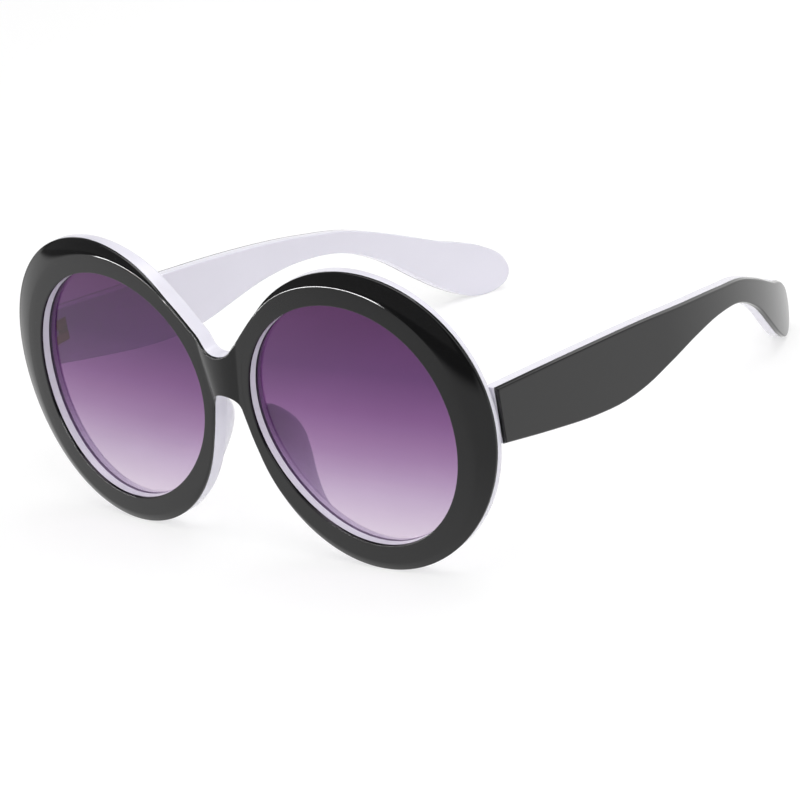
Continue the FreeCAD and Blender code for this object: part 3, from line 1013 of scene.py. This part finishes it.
@dataclass(frozen=True)
class TempleLaw:
    """Left temple in millimetres: its edges as distances from the hinge with rises, and its bend.

    The rises count from the line that runs from the hinge down to the spot where the tip rests, and the
    first point of the tip is its end.
    """

    front_x: float = 75.235
    front_y: float = -69.63
    hinge_z: float = 40.238
    rest: float = 139.1
    toe_in: float = 0.042
    bend_start: float = 66.0
    bend_radius: float = 182.0
    top: Pairs = ((0, 6.6), (30, 11.7), (69, 17.8), (94, 20.6), (107.5, 21.2), (117, 20.0), (132.5, 16.9),
                  (143, 15.1), (147.3, 12.6))
    tip: Pairs = ((148.7, 8.8), (148.0, 5.3), (145.2, 2.4), (139.1, 0.44), (132, 2.5))
    bottom: Pairs = ((126, 5.8), (115.3, 12.1), (104, 14.9), (92, 13.7), (78.5, 9.6), (66.5, 4.5),
                     (55.5, -0.2), (45, -3.3), (35.5, -4.8), (17, -6.2), (0, -6.9))
    halvings: int = 40

    def height(self, distance: float, upper: bool) -> float:
        """Height of an edge, found by halving the stretch of the outline that holds it.

        Args:
            distance: distance from the hinge.
            upper: whether it is the upper edge.

        Returns:
            Height above the table.
        """
        outline = [Vector(point) for point in self.top + self.tip + self.bottom]
        far = len(self.top) / (len(outline) - 1)
        near = 0.0 if upper else 1.0
        for _ in range(self.halvings):
            middle = (near + far) / 2
            if curve_through(outline, middle).x < distance:
                near = middle
            else:
                far = middle
        return self.hinge_z * (1 - distance / self.rest) + curve_through(outline, far).y

    def point(self, distance: float, height: float, depth: float) -> Vector:
        """Point of the left temple, on its straight stretch or on its bend.

        Args:
            distance: distance behind the hinge end.
            height: height above the table.
            depth: distance inside the outer face.

        Returns:
            The point in metres.
        """
        run = math.hypot(1.0, self.toe_in)
        centre_x = self.front_x - (self.toe_in * self.bend_start + self.bend_radius) / run
        centre_y = self.front_y + (self.bend_start - self.toe_in * self.bend_radius) / run
        y = self.front_y + distance
        radius = self.bend_radius - depth
        x = self.front_x - self.toe_in * distance - depth * run
        if y > centre_y + radius * self.toe_in / run:
            x = centre_x + math.sqrt(radius ** 2 - (y - centre_y) ** 2)
        return Vector((x, y, height)) * MM


TEMPLE = TempleLaw()


@dataclass
class TempleLayer:
    """One layer of a temple: a flat strip with rounded edges that ends in a round tip.

    Its faces lie at two depths inside the temple's outer face, and the draft steps the outer one in.
    """

    name: str
    stem: str
    slot: str
    side: Side
    outer: float
    inner: float
    outer_round: float
    inner_round: float
    draft: float
    support: float = 0.15
    chamfer: float = 0.15
    small_share: float = 0.1
    round_share: float = 0.3
    end_rows: int = 2
    stations: int = 72
    corner_steps: int = 5
    smooth_degrees: float = 35.0

    def section(self, tall: float, shrink: float) -> Profile:
        """Section across the strip, as depth and height above its lower edge.

        Args:
            tall: height of the strip here.
            shrink: distance that the section stays inside the strip.

        Returns:
            Points around the section.
        """
        points = []
        support = min(self.support, self.small_share * tall)
        step_in = min(self.draft, self.small_share * tall)
        low, high = shrink, tall - shrink
        corners = (
            (self.inner - shrink, low, self.inner_round, 0),
            (self.inner - shrink, high, self.inner_round, 90),
            (self.outer + shrink, high - step_in, self.outer_round, 180),
            (self.outer + shrink, low + step_in, self.outer_round, 270),
        )
        for depth, height, radius, end in corners:
            rounding = min(radius, self.round_share * tall)
            middle = (depth - rounding if end < 180 else depth + rounding,
                      height - rounding if end in (90, 180) else height + rounding)
            curve = arc(middle, rounding, end - 90, end, self.corner_steps)
            first = math.radians(end - 90)
            last = math.radians(end)
            before = (curve[0][0] + support * math.sin(first), curve[0][1] - support * math.cos(first))
            after = (curve[-1][0] - support * math.sin(last), curve[-1][1] + support * math.cos(last))
            points += [before] + curve + [after]
        return points

    def rows(self) -> list[list[Vector]]:
        """Works out the strip row by row, closer together towards the tip.

        Returns:
            Points around the strip for each row, all in one spot at the two ends.
        """
        rows = []
        for ring in range(self.stations + 1):
            share = max(ring - self.end_rows, 0) / (self.stations - self.end_rows)
            reach = (TEMPLE.tip[0][0] - self.chamfer) * math.sin(share * math.pi / 2)
            distance = 0.0 if ring < self.end_rows else self.chamfer + reach
            low = TEMPLE.height(distance, False)
            tall = TEMPLE.height(distance, True) - low
            shape = self.section(tall, self.chamfer if ring < self.end_rows else 0.0)
            if ring in (0, self.stations):
                shape = [((self.outer + self.inner) / 2, tall / 2)] * len(shape)
            rows.append([TEMPLE.point(distance, low + up, depth) for depth, up in shape])
        return rows

    def build(self, material: Material) -> None:
        """Shapes the strip from a ball whose poles become the hinge end and the tip.

        Args:
            material: its finish.
        """
        rows = self.rows()
        segments = len(rows[0])

        def place(share: float, turn: float) -> Vector:
            """Point of the row and the corner that lie there."""
            corner = round(turn / (2 * math.pi) * segments) % segments
            return rows[round(share * self.stations)][corner]

        strip = shape_ball(add_ball(segments, self.stations), self.side, place)
        smooth_by(strip, self.smooth_degrees)
        ending = "_" + self.side.value
        settle(strip, self.name + ending, self.stem + ending, self.slot, material)


@dataclass
class Temple:
    """One temple: black and white layers, the core wire between them and the hinge at the front."""

    side: Side
    smooth_degrees: float = 30.0

    def build(self, finishes: Finishes) -> None:
        """Shapes the two layers and dresses smooth copies of the small pieces.

        Args:
            finishes: materials of the part.
        """
        TempleLayer("black_strip", "temple_outer", "black_plastic", self.side, outer=0.0, inner=1.3,
                    outer_round=0.45, inner_round=0.08, draft=0.25).build(finishes.black)
        TempleLayer("white_strip", "temple_inner", "white_plastic", self.side, outer=1.35, inner=4.2,
                    outer_round=0.08, inner_round=0.45, draft=0.0).build(finishes.white)
        looks = (
            ("temple_core_wire", "core_steel", finishes.core),
            ("temple_hinge_leaf", "hinge_brass", finishes.brass),
            ("temple_hinge_fixing_screws", "screw_steel", finishes.steel),
            ("front_hinge_leaf", "hinge_brass", finishes.brass),
            ("front_hinge_fixing_screws", "screw_steel", finishes.steel),
            ("hinge_pivot_screw", "screw_steel", finishes.steel),
        )
        for stem, slot, material in looks:
            node = stem + "_" + self.side.value
            piece = smooth_copy(node, self.smooth_degrees)
            settle(piece, "dressed_" + node, node, slot, material)


@dataclass(frozen=True)
class PaperSweep:
    """Matt white paper that shows white and keeps a share of the object's shadow.

    In mirror images it carries painted shade, darker towards the front and, less, towards the right, in
    metres of the sheet.
    """

    name: str = "white paper sweep"
    colour: str = "#f9f9f9"
    shadow_share: float = 0.4
    glow: float = 1.1
    # Painted shade that the paper shows only in mirror images, standing in for less light falling there
    front_shade_span: Span = (-0.42, -0.25)
    front_painted_shade: float = 0.15
    right_way: Spot = (0.8, -1.2, 0.0)
    right_shade_span: Span = (0.13, 0.24)
    right_painted_shade: float = 0.75

    def mirrored_light_with_painted_shade(self, tree: Tree) -> Socket:
        """Adds the nodes for the strength of the paper in mirror images, with its painted shade.

        Args:
            tree: node tree of the paper.

        Returns:
            The socket that gives the strength.
        """
        place = add_node(tree, "ShaderNodeTexCoord").outputs["Object"]
        spot = add_node(tree, "ShaderNodeSeparateXYZ", None, {"Vector": place})
        # Painted shade: in mirror images the paper dims towards the front and towards the right
        front = add_node(tree, "ShaderNodeMapRange", {"interpolation_type": "SMOOTHSTEP"},
                         {"Value": spot.outputs["Y"], "From Min": self.front_shade_span[0],
                          "From Max": self.front_shade_span[1], "To Min": self.front_painted_shade, "To Max": 1.0})
        slant = add_node(tree, "ShaderNodeVectorMath", {"operation": "DOT_PRODUCT"},
                         {0: place, 1: self.right_way})
        right = add_node(tree, "ShaderNodeMapRange", {"interpolation_type": "SMOOTHSTEP"},
                         {"Value": slant.outputs["Value"], "From Min": self.right_shade_span[0],
                          "From Max": self.right_shade_span[1], "To Min": 1.0, "To Max": self.right_painted_shade})
        painted_shade = add_node(tree, "ShaderNodeMath", {"operation": "MULTIPLY"},
                        {0: front.outputs["Result"], 1: right.outputs["Result"]})
        return painted_shade.outputs[0]

    def material(self) -> Material:
        """Builds the finish.

        Returns:
            The material.
        """
        material, tree, shader = new_material(self.name)
        shader.inputs["Base Color"].default_value = linear(self.colour)
        shader.inputs["Roughness"].default_value = 1.0
        shader.inputs["Specular IOR Level"].default_value = 0.0
        rays = add_node(tree, "ShaderNodeLightPath")
        seen = add_node(tree, "ShaderNodeMath", {"operation": "MAXIMUM"},
                        {0: rays.outputs["Is Camera Ray"], 1: rays.outputs["Is Transmission Ray"]})
        lit = add_node(tree, "ShaderNodeMath", {"operation": "MULTIPLY"},
                       {0: seen.outputs[0], 1: 1.0 - self.shadow_share})
        share = add_node(tree, "ShaderNodeMath", {"operation": "MAXIMUM"},
                         {0: lit.outputs[0], 1: rays.outputs["Is Glossy Ray"]})
        # In mirror images the paper glows with its painted shade; to the camera it glows evenly
        strength = add_node(tree, "ShaderNodeMix", {"data_type": "FLOAT"},
                            {"Factor": rays.outputs["Is Glossy Ray"], 2: self.glow,
                             3: self.mirrored_light_with_painted_shade(tree)})
        glow = add_node(tree, "ShaderNodeEmission", None, {"Strength": strength.outputs[0]})
        mix = add_node(tree, "ShaderNodeMixShader", None,
                       {0: share.outputs[0], 1: shader.outputs[0], 2: glow.outputs[0]})
        tree.links.new(mix.outputs[0], tree.nodes["Material Output"].inputs["Surface"])
        return material


@dataclass(frozen=True)
class PhotoCamera:
    """Camera of the photograph: its stand around the front, in degrees and millimetres, and its lens."""

    azimuth: float = 42.9746
    elevation: float = 21.731
    roll: float = -9.873
    distance_mm: float = 772.47
    slide_x_mm: float = -39.204
    slide_y_mm: float = -7.237
    target_z_mm: float = 30.0
    focal_px: float = 3308.86
    image_px: float = 800.0
    sensor_mm: float = 36.0
    clip_m: Span = (0.01, 100.0)

    def stand(self) -> None:
        """Stands the camera up and makes it the one of the scene."""
        turn, lift, roll = (math.radians(x) for x in (self.azimuth, self.elevation, self.roll))
        back = Vector((math.sin(turn) * math.cos(lift), -math.cos(turn) * math.cos(lift), math.sin(lift)))
        level = Vector((math.cos(turn), math.sin(turn), 0.0))
        rise = back.cross(level)
        right = level * math.cos(roll) + rise * math.sin(roll)
        up = rise * math.cos(roll) - level * math.sin(roll)
        target = Vector((0.0, FRONT_Y, self.target_z_mm))
        spot = (target + back * self.distance_mm - right * self.slide_x_mm - up * self.slide_y_mm) * MM
        data = bpy.data.cameras.new("camera")
        data.sensor_width = self.sensor_mm
        data.lens = self.focal_px * self.sensor_mm / self.image_px
        data.clip_start, data.clip_end = self.clip_m
        eye = bpy.data.objects.new("camera", data)
        eye.matrix_world = Matrix.Translation(spot) @ Matrix((right, up, back)).transposed().to_4x4()
        bpy.context.scene.collection.objects.link(eye)
        bpy.context.scene.camera = eye


@dataclass(frozen=True)
class SoftLamp:
    """Soft lamp with its place, the point that it faces and its size in metres, and its power in watts."""

    name: str
    spot: Spot
    aim: Spot
    size: Span
    power: float

    def hang(self) -> None:
        """Adds the lamp to the scene."""
        data = bpy.data.lights.new(self.name, "AREA")
        data.shape = "RECTANGLE"
        data.size, data.size_y = self.size
        data.energy = self.power
        lamp = bpy.data.objects.new(self.name, data)
        lamp.location = Vector(self.spot)
        lamp.rotation_mode = "QUATERNION"
        lamp.rotation_quaternion = (Vector(self.aim) - Vector(self.spot)).to_track_quat("-Z", "Y")
        bpy.context.scene.collection.objects.link(lamp)


@dataclass
class Studio:
    """White floor and backdrop, soft lamps, dim surroundings and the camera."""

    sheet_m: float = 6.0
    floor_spot: Spot = (0.0, 0.0, 0.0)
    backdrop_spot: Spot = (0.0, 2.0, -1.9)
    surroundings: float = 0.25
    lamps: tuple[SoftLamp, ...] = (
        SoftLamp("top_softbox", (0.1, 0.1, 1.3), (0.0, 0.0, 0.0), (1.4, 1.4), 15.0),
        SoftLamp("right_softbox", (1.3, -0.5, 0.9), (0.0, 0.0, 0.03), (0.9, 0.9), 8.0),
        SoftLamp("low_strip", (-0.206, -0.362, 0.012), (0.0, -0.08, 0.05), (0.25, 0.02), 0.7),
    )

    def sheet(self, name: str, spot: Spot, tilt: float, paper: Material) -> None:
        """Puts up a sheet of paper.

        Args:
            name: name of the sheet.
            spot: its middle in metres.
            tilt: turn about X in degrees, where nought lies flat.
            paper: its material.
        """
        bpy.ops.object.select_all(action="DESELECT")
        bpy.ops.mesh.primitive_plane_add(size=self.sheet_m, location=spot,
                                         rotation=(math.radians(tilt), 0.0, 0.0))
        sheet = bpy.context.object
        sheet.name = name
        sheet.data.materials.append(paper)

    def world(self) -> None:
        """Sets surroundings that are white to the eye and dim as light."""
        world = bpy.data.worlds.new("studio")
        world.use_nodes = True
        bpy.context.scene.world = world
        tree = world.node_tree
        sky = tree.nodes["Background"]
        rays = add_node(tree, "ShaderNodeLightPath")
        seen = add_node(tree, "ShaderNodeMath", {"operation": "MAXIMUM"},
                        {0: rays.outputs["Is Camera Ray"], 1: rays.outputs["Is Transmission Ray"]})
        strength = add_node(tree, "ShaderNodeMapRange", None,
                            {"Value": seen.outputs[0], "To Min": self.surroundings, "To Max": 1.0})
        tree.links.new(strength.outputs["Result"], sky.inputs["Strength"])
        sky.inputs["Color"].default_value = linear("#ffffff")

    def build(self) -> None:
        """Sets up the whole studio."""
        bpy.context.scene.view_settings.view_transform = "Standard"
        PhotoCamera().stand()
        paper = PaperSweep().material()
        self.sheet("floor", self.floor_spot, 0.0, paper)
        self.sheet("backdrop", self.backdrop_spot, 90.0, paper)
        self.world()
        for lamp in self.lamps:
            lamp.hang()


def main() -> None:
    """Dresses every piece and sets the studio around it."""
    finishes = Finishes.make()
    BlackFace().build(finishes.black)
    WhiteBacking().build(finishes.white)
    for side in Side:
        Lens(side).build(finishes.tint, finishes.lens_edge)
        NosePad(side).build(finishes.white)
        Temple(side).build(finishes)
    Studio().build()


if __name__ == "__main__":
    logging.basicConfig(level=logging.INFO)
    main()
